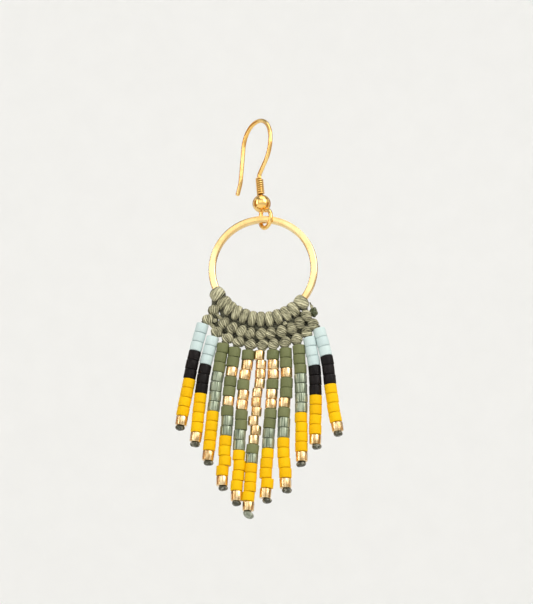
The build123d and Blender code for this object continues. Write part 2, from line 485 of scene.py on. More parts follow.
@dataclass(frozen=True)
class GlassBeadFinish:
    """Finish of a cylinder bead, from matte opaque glass to bright foil with streaks along it."""

    name: str
    colour: Colour
    deep: Colour
    metallic: float = 0.0
    roughness: float = 0.55
    roughness_shares: Pair = (1.15, 0.85)
    gloss: float = 0.25
    mottle: float = 0.55
    tint: float = 0.45
    streak_colour: Colour = (0.0, 0.0, 0.0)
    streak_amount: float = 0.0
    streak_range: Pair = (0.46, 0.60)
    streak_bump: float = 0.1
    streak_scale: float = 4.0
    streak_squash: float = 0.16
    grain_bump: float = 0.3
    grain_scale: float = 14.0
    depth: float = 0.06 * MM

    def make(self) -> Material:
        """Make the material.

        Returns:
            The material.
        """
        material, wiring, shader = blank_material(self.name)
        scales = (self.streak_scale, self.streak_squash, self.grain_scale)
        surface = BEAD_SURFACE.add(wiring, dict(zip(BEAD_SURFACE.inputs, scales)))
        grain = wiring.spread(surface["Grain"], *NOISE_RANGE, 0.0, self.mottle)
        mottle = wiring.math("ADD", grain, wiring.math("MULTIPLY", surface["Tint"], self.tint))
        streaks = wiring.spread(surface["Streaks"], *self.streak_range, 0.0, self.streak_amount)
        colour = wiring.mix(streaks, wiring.mix(mottle, self.deep, self.colour), self.streak_colour)
        dull, smooth = (self.roughness * share for share in self.roughness_shares)
        rough = wiring.spread(surface["Grain"], *NOISE_RANGE, dull, smooth)
        height = wiring.blend_heights(
            (surface["Streaks"], self.streak_bump), (surface["Grain"], self.grain_bump)
        )
        normal = wiring.bump(height, 1.0, self.depth)
        shader.inputs["Metallic"].default_value = self.metallic
        shader.inputs["Specular IOR Level"].default_value = self.gloss
        wiring.join({"Base Color": colour, "Roughness": rough, "Normal": normal}, shader)
        return material


@dataclass(frozen=True)
class PaintedPaper:
    """Pale matt surface of the studio sweep."""

    name: str
    colour: Colour
    tooth_scale: float = 90.0
    tooth_shade: Pair = (0.985, 1.0)
    roughness: float = 0.9
    gloss: float = 0.1

    def make(self) -> Material:
        """Make the material.

        Returns:
            The material.
        """
        material, wiring, shader = blank_material(self.name)
        tooth = wiring.noise(wiring.place(), self.tooth_scale, detail=3.0)
        shade = wiring.spread(tooth, *NOISE_RANGE, *self.tooth_shade)
        colour = wiring.add("HueSaturation", {"Value": shade, "Color": (*self.colour, 1.0)}).outputs[0]
        wiring.join({"Base Color": colour}, shader)
        shader.inputs["Roughness"].default_value = self.roughness
        shader.inputs["Specular IOR Level"].default_value = self.gloss
        return material


class Bead(Enum):
    """The bead finishes of the fringe, by the letter that the strings use."""

    MINT = "m"
    BLACK = "k"
    YELLOW = "y"
    OLIVE = "o"
    SILVER_GREEN = "s"
    GOLD = "g"

    @property
    def slot(self) -> str:
        """Material slot of the record."""
        return "bead_" + self.name.lower()


ALL_FINISHES = (
    PlatedMetal(
        "hook_gold", (1.0, 0.73, 0.30), (0.95, 0.59, 0.17), 0.13,
        # Painted shade between the turns of the coil and on the stem inside it.
        coil=CoilShade((0.0, -0.00134, -0.00942), 12.8, 0.00140, 0.00036, 0.00047),
    ),
    PlatedMetal("ring_gold", (0.98, 0.80, 0.42), (0.85, 0.56, 0.21), 0.17),
    TwistedCordFinish(
        "cord", (0.018, 0.015, 0.007), (0.103, 0.095, 0.051), (0.285, 0.270, 0.157), (0.75, 0.71, 0.465)
    ),
    # A darker copy of the cord as painted shade, for cord deep among the knots.
    TwistedCordFinish(
        "cord_inner", (0.008, 0.007, 0.003), (0.025, 0.024, 0.012), (0.060, 0.060, 0.032), (0.18, 0.18, 0.115)
    ),
    MeltedCordFinish("pale_knob", (0.20, 0.22, 0.16), (0.45, 0.48, 0.38), 0.26),
    MeltedCordFinish("melted_cord", (0.050, 0.050, 0.030), (0.30, 0.29, 0.22), 0.16),
    MeltedCordFinish("burnt_cord", (0.045, 0.055, 0.020), (0.20, 0.235, 0.115), 0.24),
    GlassBeadFinish("bead_yellow", (0.93, 0.57, 0.001), (0.82, 0.43, 0.0006), gloss=0.12),
    GlassBeadFinish("bead_mint", (0.67, 0.78, 0.75), (0.51, 0.63, 0.63)),
    GlassBeadFinish(
        "bead_black", (0.012, 0.009, 0.009), (0.003, 0.002, 0.002), roughness=0.5, gloss=0.15
    ),
    GlassBeadFinish("bead_olive", (0.210, 0.225, 0.096), (0.130, 0.146, 0.056)),
    GlassBeadFinish(
        "bead_silver_green", (0.51, 0.56, 0.42), (0.325, 0.375, 0.27), metallic=0.55, roughness=0.34,
        streak_colour=(0.09, 0.12, 0.075), streak_amount=0.9, streak_scale=10.0, streak_squash=0.03,
        streak_bump=0.3,
    ),
    GlassBeadFinish(
        "bead_gold", (0.98, 0.79, 0.48), (0.94, 0.675, 0.33), metallic=1.0, roughness=0.24,
        streak_colour=(0.45, 0.24, 0.07), streak_amount=0.75, streak_bump=0.35, streak_scale=3.2,
        grain_scale=7.0,
    ),
)
FINISHES = {finish.name: finish for finish in ALL_FINISHES}

# The slot in the record of each finish that has none of its own
RECORD_SLOTS = {"cord_inner": "cord", "pale_knob": "melted_cord", "burnt_cord": "melted_cord"}


@dataclass
class Palette:
    """Materials by slot name, each made when it is first asked for."""

    made: dict[str, Material] = field(default_factory=dict)

    def get(self, slot: str) -> Material:
        """Find the material of a slot.

        Args:
            slot: Name of the finish.

        Returns:
            The material.
        """
        if slot not in self.made:
            self.made[slot] = FINISHES[slot].make()
        return self.made[slot]


# Pieces


def pour(bm: BMesh, name: str) -> Mesh:
    """Turn a bmesh into a mesh.

    Args:
        bm: The bmesh, which is freed here.
        name: Name of the mesh.

    Returns:
        The mesh.
    """
    mesh = bpy.data.meshes.new(name)
    bm.to_mesh(mesh)
    bm.free()
    return mesh


def set_out(name: str, data: ID) -> Object:
    """Make an object and link it to the scene.

    Args:
        name: Name of the object.
        data: Its mesh, light or camera.

    Returns:
        The object.
    """
    thing = bpy.data.objects.new(name, data)
    bpy.context.scene.collection.objects.link(thing)
    return thing


def turn_profile(
    bm: BMesh, points: Sequence[Sequence[float]], axis: Sequence[float], steps: int, closed: bool = True
) -> None:
    """Add the surface that a profile gives when it turns round an axis through the origin.

    Args:
        bm: Mesh that takes the surface.
        points: The profile's points in order.
        axis: Direction of the axis.
        steps: Number of steps in the whole turn.
        closed: Whether the profile's last point joins its first.
    """
    verts = [bm.verts.new(point) for point in points]
    edges = [bm.edges.new(pair) for pair in zip(verts, verts[1:] + verts[:1] if closed else verts[1:])]
    bmesh.ops.spin(
        bm, geom=verts + edges, cent=(0, 0, 0), axis=axis, angle=math.tau, steps=steps, use_merge=True
    )


def take_in(bm: BMesh, part: BMesh, slot: int) -> None:
    """Move a small mesh into a larger one.

    Args:
        bm: Mesh that takes it.
        part: The small mesh, which is freed here.
        slot: Material number of the small mesh.
    """
    for face in part.faces:
        face.material_index = slot
    mesh = pour(part, "part")
    bm.from_mesh(mesh)
    bpy.data.meshes.remove(mesh)


@dataclass
class Workshop:
    """Turns finished bmeshes into pieces that ride on a body."""

    palette: Palette
    drop: DropFrame

    def piece(
        self,
        name: str,
        bm: BMesh,
        body: str,
        slots: Sequence[str],
        replaces: Sequence[str] = (),
        even_normals: bool = False,
    ) -> Object:
        """Lay a mesh of the drop's frame into the part and set it on a body.

        Args:
            name: Name of the piece.
            bm: Its mesh in the drop's millimetres, which is freed here.
            body: CAD body that it moves with.
            slots: Material slots in the order of the mesh's material numbers.
            replaces: CAD nodes that it stands for.
            even_normals: Whether large faces lead the shading of small ones.

        Returns:
            The new object.
        """
        bmesh.ops.transform(bm, matrix=self.drop.matrix, verts=bm.verts)
        bmesh.ops.recalc_face_normals(bm, faces=bm.faces)
        for face in bm.faces:
            face.smooth = True
        mesh = pour(bm, name)
        for slot in slots:
            mesh.materials.append(self.palette.get(slot))
        piece = set_out(name, mesh)
        if even_normals:
            piece.modifiers.new("even_normals", "WEIGHTED_NORMAL").keep_sharp = True
        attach(piece, body)
        RECORD_SLOTS.get(slots[0], slots[0])
        if replaces:
            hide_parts(*replaces)
        log.info("%s: %d faces on %s", name, len(mesh.polygons), body)
        return piece

    def dress(self, node: str, slot: str) -> None:
        """Give a carried-over CAD node its material.

        Args:
            node: Name of the CAD node.
            slot: Name of its finish.
        """
        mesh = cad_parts[node].data
        mesh.materials.clear()
        mesh.materials.append(self.palette.get(slot))
        log.info("%s: dressed as %s", node, slot)


@dataclass(frozen=True)
class CordSection:
    """Cross-section of a cord whose plies show as ribs round its outline."""

    width: float
    thickness: float
    plies: int = 8
    groove: float = 0.14
    lay: float = 6.0
    # Painted shade at the cord's sides, where it presses on its neighbours.
    side_shade: float = 0.0
    tone: float = 1.0
    points: int = 5
    # Painted shade in the grooves between the plies.
    valley_shade: float = 0.32
    roundness: float = 0.6
    side_falloff: int = 5

    def rib(self, angle: float) -> float:
        """Return how far up its ply the outline is at an angle, from 0 to 1."""
        return abs(math.sin(self.plies * angle / 2)) ** self.roundness

    def outline(self, angle: float) -> float:
        """Return the outline's size at an angle, as a share of its full size."""
        return 1.0 - self.groove * (1.0 - self.rib(angle))

    def shade(self, angle: float, turned: float, tones: Sequence[float]) -> float:
        """Return the painted light and shade of the outline at an angle.

        Args:
            angle: Angle on the section, which gives the ply.
            turned: The same angle after the twist, which gives the side of the cord.
            tones: Shade of each ply.

        Returns:
            The painted light and shade, from 0 where a groove or a side is in painted shade to 1 on a bright
            ply.
        """
        ply = int(angle / math.tau * self.plies + 1e-6) % self.plies
        ridge = self.valley_shade + (1.0 - self.valley_shade) * self.rib(angle)
        side = self.side_shade * abs(math.cos(turned)) ** self.side_falloff
        return self.tone * ridge * tones[ply] * (1.0 - side)


@dataclass(frozen=True)
class Station:
    """One section along a cord."""

    place: Vector
    side: Vector
    wide: float = 1.0
    thick: float = 1.0


@dataclass(frozen=True)
class WrapShape:
    """Sizes of the middle line of a closed wrap."""

    half_height: float
    half_depth: float
    squareness: float = 1.0
    end_width: float = 0.7
    steps: int = 36


@dataclass(frozen=True)
class CordMaker:
    """Sweeps ribbed cord along a line by extruding and turning its section."""

    section: CordSection
    tones: Pair = (0.60, 1.05)
    seed_range: float = 90.0

    def matrix(self, station: Station, along: Vector, turn: float) -> Matrix:
        """Return the matrix of one section.

        Args:
            station: The section's middle, the direction of its width and its scale.
            along: Direction of the cord there.
            turn: Twist of the plies, in radians.

        Returns:
            The matrix from the section's own plane.
        """
        along = along.normalized()
        side = (station.side - along * station.side.dot(along)).normalized()
        axes = Matrix((side, along.cross(side), along)).transposed().to_4x4()
        half_width = self.section.width * station.wide / 2
        half_thickness = self.section.thickness * station.thick / 2
        flat = Matrix.Diagonal((half_width, half_thickness, 1.0, 1.0))
        return Matrix.Translation(station.place) @ axes @ flat @ Matrix.Rotation(turn, 4, "Z")

    def outline_ring(self, bm: BMesh) -> list[BMVert]:
        """Add the cord's outline, whose vertices keep their own angles.

        Args:
            bm: Empty mesh that takes the outline and its attributes.

        Returns:
            The outline's vertices.
        """
        # Layers for the painted light and shade and for each vertex's angle round the section.
        for name in ("cord_crown", "cord_angle"):
            bm.verts.layers.float.new(name)
        place_layer = bm.verts.layers.float_vector.new("cord_place")
        angle_layer = bm.verts.layers.float["cord_angle"]
        section = self.section
        ring = bmesh.ops.create_circle(bm, segments=section.plies * section.points, radius=1.0)["verts"]
        seed = Vector((random.uniform(0, self.seed_range), random.uniform(0, self.seed_range), 0.0))
        for vert in ring:
            angle = math.atan2(vert.co.y, vert.co.x) % math.tau
            across = Vector((math.cos(angle) * section.width, math.sin(angle) * section.width, 0.0)) / 2
            vert[place_layer] = across + seed
            vert[angle_layer] = angle
            vert.co = vert.co * section.outline(angle)
        return ring

    def lay_out(
        self, stations: Sequence[Station], closed: bool
    ) -> tuple[list[float], list[float], list[Matrix]]:
        """Work out how far the cord has run and turned at each station, and its section there.

        Args:
            stations: The cord's sections in order.
            closed: Whether the last section runs on to the first.

        Returns:
            The runs, the twists and the matrices of the sections.
        """
        count = len(stations)
        points = [station.place for station in stations]
        spans = [(points[(i + 1) % count] - points[i]).length for i in range(count)]
        runs = [sum(spans[:i]) for i in range(count + 1)]
        length = runs[count] if closed else runs[count - 1]
        turns = length / self.section.lay * math.tau
        if closed:
            ply_turn = math.tau / self.section.plies
            turns = round(turns / ply_turn) * ply_turn
        start = random.uniform(0.0, math.tau)
        twists = [start - turns * run / length for run in runs[:count]]
        matrices = []
        for i, station in enumerate(stations):
            before = points[i - 1] if i or closed else points[0]
            after = points[(i + 1) % count] if i < count - 1 or closed else points[-1]
            matrices.append(self.matrix(station, after - before, twists[i]))
        return runs, twists, matrices

    def paint(
        self, part: BMesh, verts: Sequence[BMVert], run: float, twist: float, tones: Sequence[float]
    ) -> None:
        """Write the place and the painted light and shade of one section's vertices.

        Args:
            part: Mesh of the cord.
            verts: The section's vertices.
            run: How far the cord has run there.
            twist: How far its plies have turned there, in radians.
            tones: Shade of each ply.
        """
        place_layer = part.verts.layers.float_vector["cord_place"]
        angle_layer = part.verts.layers.float["cord_angle"]
        painted_light_layer = part.verts.layers.float["cord_crown"]
        for vert in verts:
            angle = vert[angle_layer]
            vert[place_layer].z = run
            vert[painted_light_layer] = self.section.shade(angle, angle + twist, tones)

    def sweep(self, bm: BMesh, stations: Sequence[Station], closed: bool, slot: int = 0) -> None:
        """Add a cord along a line of stations.

        Args:
            bm: Mesh that takes the cord.
            stations: Its sections in order.
            closed: Whether the last section runs on to the first.
            slot: Material number of the cord.
        """
        runs, twists, matrices = self.lay_out(stations, closed)
        part = bmesh.new()
        ring = self.outline_ring(part)
        tones = [random.uniform(*self.tones) for _ in range(self.section.plies)]
        self.paint(part, ring, runs[0], twists[0], tones)
        bmesh.ops.transform(part, matrix=matrices[0], verts=ring)
        first = list({edge for vert in ring for edge in vert.link_edges})
        edges = first
        for i in range(1, len(stations)):
            grown = bmesh.ops.extrude_edge_only(part, edges=edges)["geom"]
            verts = [item for item in grown if isinstance(item, BMVert)]
            edges = [item for item in grown if isinstance(item, BMEdge)]
            bmesh.ops.transform(part, matrix=matrices[i] @ matrices[i - 1].inverted(), verts=verts)
            self.paint(part, verts, runs[i], twists[i], tones)
        if closed:
            bmesh.ops.bridge_loops(part, edges=first + edges)
        else:
            for loop in (first, edges):
                bmesh.ops.contextual_create(part, geom=loop)
        part.verts.layers.float.remove(part.verts.layers.float["cord_angle"])
        take_in(bm, part, slot)

    def wrap(
        self, bm: BMesh, shape: WrapShape, middle: Vector, across: Vector, up: Vector,
        lean: float = 0.0, squeeze: Matrix = Matrix.Identity(3),
    ) -> None:
        """Add one closed wrap of cord.

        Args:
            bm: Mesh that takes the wrap.
            shape: Sizes of the wrap.
            middle: Middle of the wrap.
            across: Direction along what it is wrapped on.
            up: Direction in the wrap's plane, in the plane of the drop.
            lean: How far the wrap stands off sideways where it is fullest.
            squeeze: How its neighbours press the wrap out of shape.
        """
        back = across.cross(up).normalized()
        stations = []
        for step in range(shape.steps):
            angle = math.tau * (step / shape.steps + 0.25)
            c, s = math.cos(angle), math.sin(angle)
            x = math.copysign(abs(c) ** shape.squareness, c) * shape.half_height
            y = math.copysign(abs(s) ** shape.squareness, s) * shape.half_depth
            full = 1.0 - c * c
            place = middle + squeeze @ (up * x + back * y + across * (lean * (1.0 + full) / 2))
            wide = shape.end_width + (1.0 - shape.end_width) * full
            stations.append(Station(place, across, wide))
        self.sweep(bm, stations, True)


@dataclass
class RingBand:
    """The ring of square wire, its edges rounded and its faces slightly domed."""

    workshop: Workshop
    outer_diameter: float = 15.0
    wire: float = 1.0
    edge: float = 0.19
    dome: float = 0.035
    edge_steps: int = 4
    steps: int = 160

    def profile(self) -> list[Vector]:
        """Lay out the wire's section, with the ring's radius along x and its depth along y.

        Returns:
            The section's points in order.
        """
        half = self.wire / 2
        corner = half - self.dome - self.edge
        points = []
        for quarter in range(4):
            turn = Matrix.Rotation(quarter * math.pi / 2, 3, "Z")
            points.append(turn @ Vector((half, 0.0, 0.0)))
            for step in range(self.edge_steps + 1):
                angle = math.pi / 2 * step / self.edge_steps
                arc = Vector((math.cos(angle), math.sin(angle), 0.0)) * self.edge
                points.append(turn @ (Vector((corner, corner, 0.0)) + arc))
        return points

    def build(self) -> None:
        """Make the piece."""
        bm = bmesh.new()
        radius = (self.outer_diameter - self.wire) / 2
        points = [point + RIGHT * radius for point in self.profile()]
        turn_profile(bm, points, (0, 1, 0), self.steps)
        self.workshop.piece("ring_band", bm, "drop", ["ring_gold"], ["ring"])


@dataclass(frozen=True)
class Mount:
    """One wrap of the mounting knots: its angle on the ring, width and tilt."""

    angle: float
    width: float = 1.0
    tilt: float = 0.0


MOUNTS = (
    Mount(-57.6, 1.42, 8.0), Mount(-45.0, 1.24, -6.0), Mount(-36.2, 1.06), Mount(-27.0, 1.0, 3.0),
    Mount(-17.7, 1.0, -3.0), Mount(-8.5), Mount(0.7), Mount(10.0, 1.0, -2.0), Mount(19.5, 1.03),
    Mount(29.0, 1.06, 4.0), Mount(38.3, 1.16, -2.0), Mount(50.0, 1.32, 5.0),
)


@dataclass
class MountingKnots:
    """The cords' wraps round the lower half of the ring, over the turns that lie under them."""

    workshop: Workshop
    # The wraps' sides are in painted shade (0.75).
    section: CordSection = CordSection(1.24, 0.50, 11, 0.22, lay=9.0, side_shade=0.75)
    under: CordMaker = CordMaker(CordSection(1.54, 1.38, 9, 0.04))
    shape: WrapShape = WrapShape(0.84, 0.74, 0.72, 0.76, 40)
    wrap_radius: float = 7.14
    wrap_play: Pair = (-0.03, 0.04)
    under_radius: float = 7.06
    under_reach: float = 1.5
    under_steps: int = 32

    def add_under_turns(self, bm: BMesh) -> None:
        """Add the sleeve of cord that hides the ring between the wraps, darkened as painted shade."""
        first, last = MOUNTS[0].angle - self.under_reach, MOUNTS[-1].angle + self.under_reach
        stations = []
        for step in range(self.under_steps + 1):
            outward = heading(first + (last - first) * step / self.under_steps)
            stations.append(Station(outward * self.under_radius, outward))
        self.under.sweep(bm, stations, False, 1)

    def build(self) -> None:
        """Make the piece."""
        bm = bmesh.new()
        for mount in MOUNTS:
            outward = heading(mount.angle)
            along = FRONT.cross(outward)
            tilt = Matrix.Rotation(math.radians(mount.tilt), 3, FRONT)
            cord = CordMaker(replace(self.section, width=self.section.width * mount.width))
            middle = outward * (self.wrap_radius + random.uniform(*self.wrap_play))
            cord.wrap(bm, self.shape, middle, tilt @ along, tilt @ outward)
        self.add_under_turns(bm)
        self.workshop.piece("mounting_wraps", bm, "drop", ["cord", "cord_inner"], ["mounting_knots"])


@dataclass(frozen=True)
class Hitch:
    """Place of one hitch, from the ring's middle."""

    angle: float
    radius: float
    wide: float = 1.0

    @property
    def middle(self) -> Vector:
        """Middle of the hitch."""
        return heading(self.angle) * self.radius


@dataclass
class HitchRow:
    """A curved row of double half hitches on its carrier cord."""

    workshop: Workshop
    name: str
    hitches: Sequence[Hitch]
    stretch: Pair = (1.0, 1.0)
    # The hitches' cord is darkened as a whole (tone 0.88) as painted shade of the gaps between the hitches,
    # and its sides (0.60) are in painted shade.
    cord: CordMaker = CordMaker(CordSection(0.90, 0.56, 8, 0.28, 7.0, 0.60, 0.88))
    carrier: CordMaker = CordMaker(CordSection(0.62, 0.56, 6, 0.24, 3.0))
    shape: WrapShape = WrapShape(0.46, 0.46, 0.90, 0.74, 34)
    slant: float = 46.0
    slant_play: float = 6.0
    half_gap: float = 0.35
    size_play: Pair = (0.97, 1.05)
    height_play: float = 0.05
    carrier_steps: int = 6

    def add_hitch(self, bm: BMesh, hitch: Hitch) -> None:
        """Add the two slanted wraps of a hitch.

        Args:
            bm: Mesh that takes the wraps.
            hitch: Place of the hitch.
        """
        outward = heading(hitch.angle)
        along = FRONT.cross(outward)
        slant = math.radians(self.slant + random.uniform(-self.slant_play, self.slant_play))
        across = along * math.cos(slant) - outward * math.sin(slant)
        up = along * math.sin(slant) + outward * math.cos(slant)
        wide, tall = self.stretch[0] * hitch.wide, self.stretch[1]
        squeeze = Matrix.Scale(wide, 3, along) @ Matrix.Scale(tall, 3, outward)
        for side in (-1, 1):
            size = random.uniform(*self.size_play)
            shape = replace(self.shape, half_height=self.shape.half_height * size)
            middle = hitch.middle + up * random.uniform(-self.height_play, self.height_play)
            self.cord.wrap(bm, shape, middle, across, up, side * self.half_gap, squeeze)

    def add_carrier(self, bm: BMesh) -> None:
        """Add the carrier cord through all hitches.

        Args:
            bm: Mesh that takes the cord.
        """
        line = []
        middles = [hitch.middle for hitch in self.hitches]
        for here, there in zip(middles, middles[1:]):
            line += [here.lerp(there, step / self.carrier_steps) for step in range(self.carrier_steps)]
        line.append(middles[-1])
        self.carrier.sweep(bm, [Station(point, FRONT) for point in line], False)

    def build(self) -> None:
        """Make the piece."""
        bm = bmesh.new()
        for hitch in self.hitches:
            self.add_hitch(bm, hitch)
        self.add_carrier(bm)
        self.workshop.piece(self.name + "_wraps", bm, "drop", ["cord"], [self.name])


@dataclass(frozen=True)
class StringPlan:
    """One bead string: the place of its first bead, its two hitches, its share of the usual pitch,
    its leans at the top, middle and foot, its beads from top to bottom, and how far its knob and
    beads sway to the left, in hundredths of a millimetre.
    """

    angle: float
    radius: float
    upper: Hitch
    lower: Hitch
    pitch_share: float
    leans: Triple
    beads: str
    knob_sway: int = 0
    sways: tuple[int, ...] = ()


STRINGS = (
    StringPlan(
        -42.6, 11.82, Hitch(-46.9, 8.82, 0.8), Hitch(-44.0, 10.33, 0.92), 0.955, (-12.8, -7.6, -7.1),
        "mmmkkkyyyyg", -5,
    ),
    StringPlan(
        -31.8, 12.30, Hitch(-32.3, 9.28), Hitch(-32.8, 10.83), 0.982, (-12.4, -4.5, -3.2), "mmmkkkyyyyg"
    ),
    StringPlan(
        -23.6, 12.40, Hitch(-23.9, 9.30), Hitch(-23.4, 10.86), 0.994, (-7.2, -3.6, -3.0), "ooossssyyyyg", 14
    ),
    StringPlan(
        -15.6, 12.34, Hitch(-15.5, 9.27), Hitch(-15.2, 10.83), 1.000, (-5.2, -0.9, -0.6), "oogoogossyyyyg", 6,
        (0, 0, 0, -2, 0, 2, 0, 10, 0, 0, -2, 14, -14, -10),
    ),
    StringPlan(
        -6.9, 12.31, Hitch(-7.9, 9.28), Hitch(-6.2, 10.83), 1.015, (-4.1, -0.5, -0.2), "oggoggoossyyyyg", 3,
        (4, 10, -6, -12, 4, 0, -2, 4, -6, -6, 2, 14, 4, -8, 0),
    ),
    StringPlan(
        1.4, 12.24, Hitch(1.4, 9.20), Hitch(2.8, 10.78), 0.950, (-1.4, -2.3, -1.4), "ggggggggggosyyyyg", 31,
        (-18, 14, 16, 16, -8, -12, 4, -28, 14, 2, 0, 2, 0, 6, 6, -8, 0),
    ),
    StringPlan(
        9.4, 12.25, Hitch(9.6, 9.20), Hitch(10.5, 10.78), 0.995, (1.6, -1.9, -0.2), "oggoggoossyyyyg", 29,
        (-2, 2, 4, 2, -6, -4, 0, -4, 0, 2, -2, -4, -8, 20, 0),
    ),
    StringPlan(
        17.5, 12.33, Hitch(18.8, 9.30), Hitch(18.9, 10.87), 1.008, (3.6, -0.1, 4.9), "oogoogossyyyyg", 19,
        (0, 0, 4, 4, 6, -14, -16, -12, -8, -10, -10, -4, 8, 0),
    ),
    StringPlan(
        25.9, 12.53, Hitch(27.8, 9.47), Hitch(27.5, 11.05), 0.980, (6.7, 3.1, 3.3), "ooossssyyyyg", -12
    ),
    StringPlan(
        34.4, 12.25, Hitch(35.7, 9.30), Hitch(36.6, 10.87), 0.990, (13.5, 3.5, 1.9), "mmmkkkyyyyg", 21
    ),
    StringPlan(43.1, 12.07, Hitch(44.1, 9.02), Hitch(43.5, 10.56), 0.967, (18.3, 8.7, 12.7), "mmmkkkyyyyg"),
)


@dataclass(frozen=True)
class BeadShape:
    """Sizes of a cylinder bead."""

    diameter: float = 1.71
    edge: float = 0.10
    edge_bow: float = 0.28
    length: float = 1.34
    hole: float = 0.80
    sides: int = 20

    def build(self, bm: BMesh) -> None:
        """Add the bead round the z axis.

        Args:
            bm: Mesh that takes the bead.
        """
        outer, inner, half, edge = self.diameter / 2, self.hole / 2, self.length / 2, self.edge
        near = edge * self.edge_bow
        profile = [
            (inner, half), (outer - edge, half), (outer - near, half - near), (outer, half - edge),
            (outer, edge - half), (outer - near, near - half), (outer - edge, -half), (inner, -half),
        ]
        turn_profile(bm, [(radius, 0.0, z) for radius, z in profile], (0, 0, 1), self.sides)


@dataclass(frozen=True)
class KnobShape:
    """Sizes of the melted knob under a string."""

    finish: str = "melted_cord"
    diameter: float = 1.30
    height: float = 0.80
    nest: float = 0.09
    fullness: float = 0.10
    lump: float = 0.04
    waves: tuple[int, int] = (3, 4)
    segments: tuple[int, int] = (24, 16)

    def build(self, bm: BMesh, number: int) -> list[BMVert]:
        """Add a knob that hangs from the origin, nested a little into the bead above.

        Args:
            bm: Mesh that takes the knob.
            number: Number of the string, which places the knob's lumps.

        Returns:
            The knob's vertices.
        """
        around, down = self.segments
        verts = bmesh.ops.create_uvsphere(bm, u_segments=around, v_segments=down, radius=1.0)["verts"]
        half = Vector((self.diameter / 2, self.diameter / 2, self.height / 2))
        for vert in verts:
            flat = Vector((vert.co.x, vert.co.y, 0.0)).length
            fuller = max(abs(vert.co.z), flat, 1e-6) ** -self.fullness
            swell = math.sin(self.waves[0] * vert.co.x + number)
            swell += math.cos(self.waves[1] * vert.co.y - number)
            vert.co = Vector(a * b for a, b in zip(vert.co * fuller * (1.0 + self.lump * swell), half))
            vert.co.z -= half.z - self.nest
        return verts


